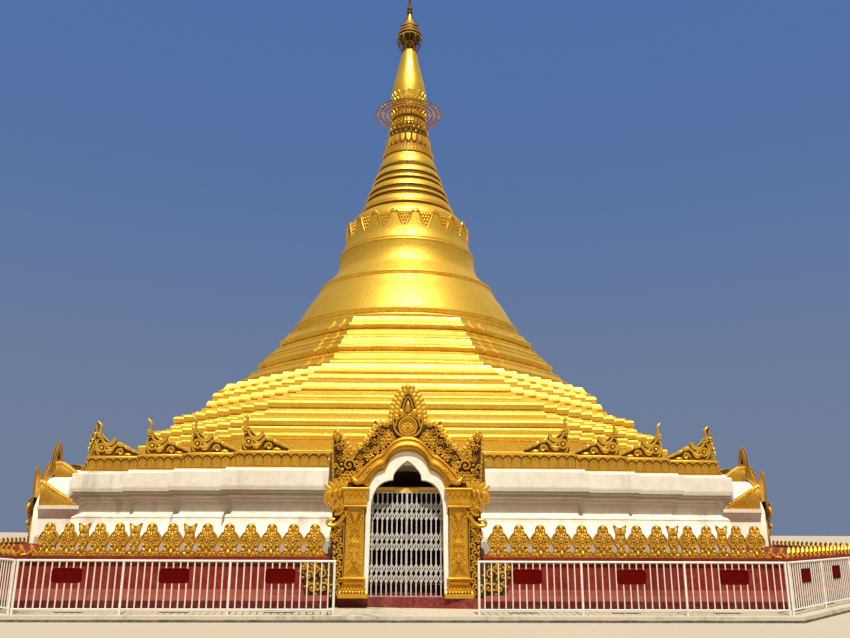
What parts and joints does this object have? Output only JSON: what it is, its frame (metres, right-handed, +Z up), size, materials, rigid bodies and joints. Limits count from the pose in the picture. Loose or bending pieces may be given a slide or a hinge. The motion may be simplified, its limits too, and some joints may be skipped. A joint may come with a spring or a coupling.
{
  "type": "gilded stepped stupa",
  "caption": "Gilded bell-shaped stupa on stepped terraces, a white moulded base and a red plinth, with four gate porches and a low fence on a kerb.",
  "frame": {"origin": "centre of the base on the ground", "axes": "+Z up the spire, front gate towards -Y"},
  "size_m": [26.44, 26.44, 23],
  "materials": {
    "kerb_concrete": "rough",
    "floor_paint": "matt",
    "plinth_red": "matt",
    "limewash": "matt",
    "gold_paint": "satin",
    "frieze_gold": "satin",
    "carved_gold": "satin",
    "umbrella_metal": "satin",
    "fence_paint": "gloss",
    "grille_paint": "gloss"
  },
  "bodies": {
    "root": {"kerb_platform": "kerb_concrete", "passage_floor": "floor_paint", "inner_core": "limewash", "plinth_back_right": "plinth_red", "base_back_right": "limewash", "merlons_back_right": "carved_gold", "plinth_back_left": "plinth_red", "base_back_left": "limewash", "merlons_back_left": "carved_gold", "plinth_front_left": "plinth_red", "base_front_left": "limewash", "merlons_front_left": "carved_gold", "plinth_front_right": "plinth_red", "base_front_right": "limewash", "merlons_front_right": "carved_gold", "frieze_course": "frieze_gold", "terrace_1": "gold_paint", "terrace_2": "gold_paint", "terrace_3": "gold_paint", "terrace_4": "gold_paint", "octagon_lower": "gold_paint", "octagon_upper": "gold_paint", "bell": "gold_paint", "bell_band": "gold_paint", "ringed_spire": "gold_paint", "spire_bud": "gold_paint", "finial": "gold_paint", "lotus_bands": "carved_gold", "spire_wreath": "umbrella_metal", "umbrella": "umbrella_metal", "fence_front_a": "fence_paint", "fence_front_b": "fence_paint", "front_porch": "limewash", "front_arch": "limewash", "front_gate_surround": "carved_gold", "front_gate_grille": "grille_paint", "fence_right_a": "fence_paint", "fence_right_b": "fence_paint", "right_porch": "limewash", "right_arch": "limewash", "right_gate_surround": "carved_gold", "right_gate_grille": "grille_paint", "fence_back_a": "fence_paint", "fence_back_b": "fence_paint", "back_porch": "limewash", "back_arch": "limewash", "back_gate_surround": "carved_gold", "back_gate_grille": "grille_paint", "fence_left_a": "fence_paint", "fence_left_b": "fence_paint", "left_porch": "limewash", "left_arch": "limewash", "left_gate_surround": "carved_gold", "left_gate_grille": "grille_paint", "fence_back_right": "fence_paint", "fence_back_left": "fence_paint", "fence_front_left": "fence_paint", "fence_front_right": "fence_paint"}
  },
  "joints": []
}
